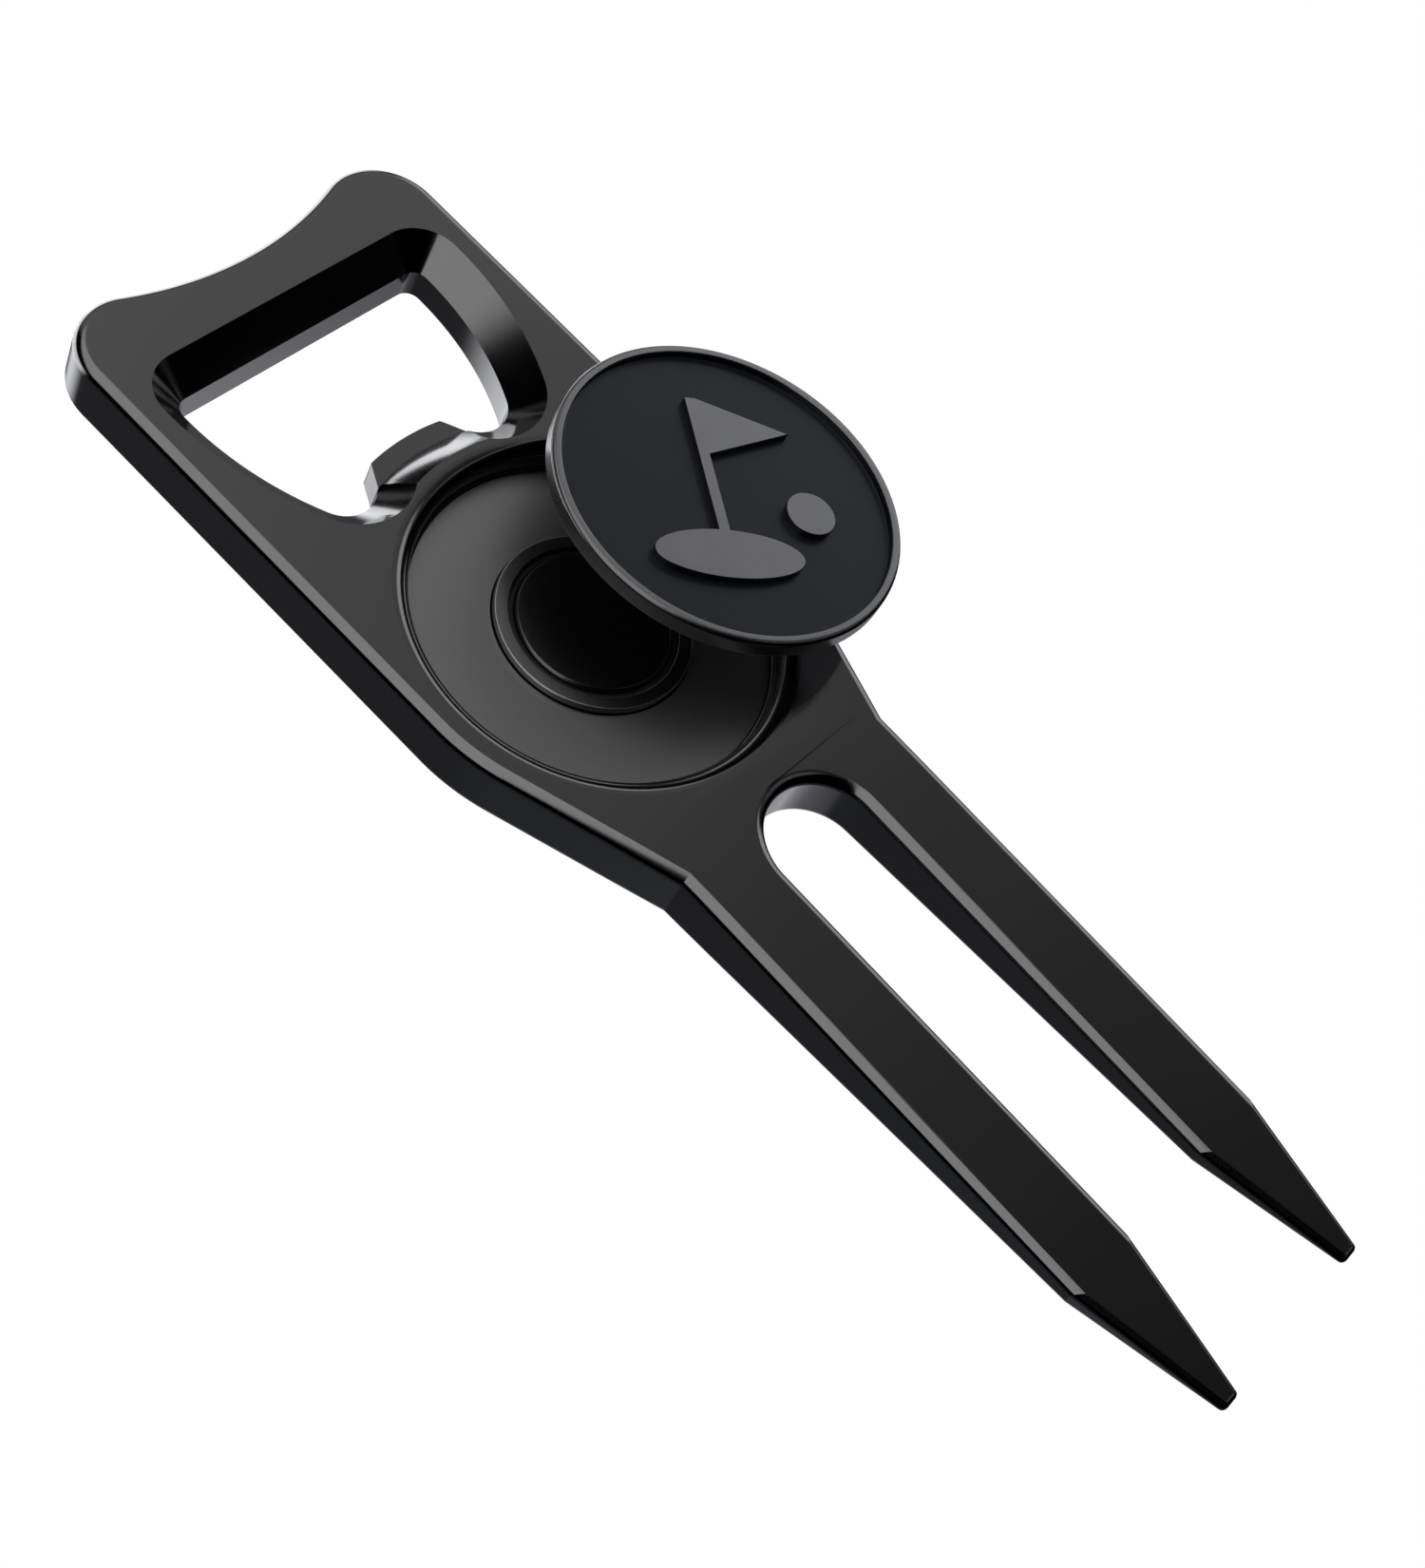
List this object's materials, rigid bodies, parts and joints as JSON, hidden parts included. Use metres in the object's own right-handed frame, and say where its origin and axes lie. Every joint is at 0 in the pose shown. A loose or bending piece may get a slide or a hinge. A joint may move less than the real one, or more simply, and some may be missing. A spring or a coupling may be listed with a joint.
{
  "type": "golf divot repair tool",
  "caption": "Flat two-pronged metal divot repair tool with a bottle opener window and a magnetic recess for a removable round ball marker.",
  "frame": {"origin": "on the flat underside, below the centre of the marker recess", "axes": "+X towards the prong tips, +Y across the blade, +Z out of the face that carries the recess"},
  "size_m": [0.0956, 0.0371, 0.0101],
  "materials": {
    "blade_black": "satin black plating over metal",
    "cup_steel": "fine turned steel",
    "magnet_nickel": "dark nickel plating",
    "adhesive_resin": "cured dark resin",
    "marker_steel": "dark nickel, satin struck faces",
    "marker_enamel": "dark blue-black hard enamel"
  },
  "bodies": {
    "tool": {"tool_body": "blade_black", "magnet_cup": "cup_steel", "magnet_disc": "magnet_nickel", "magnet_adhesive": "adhesive_resin"},
    "marker": {"marker_coin": "marker_steel", "marker_enamel": "marker_enamel"}
  },
  "joints": [
    {"name": "marker_lift", "type": "hinge", "parent": "tool", "child": "marker", "pos_m": [0, 0.05164, -0.12819], "axis": [-1, 0, 0], "range_deg": [-4.28, 8]}
  ]
}
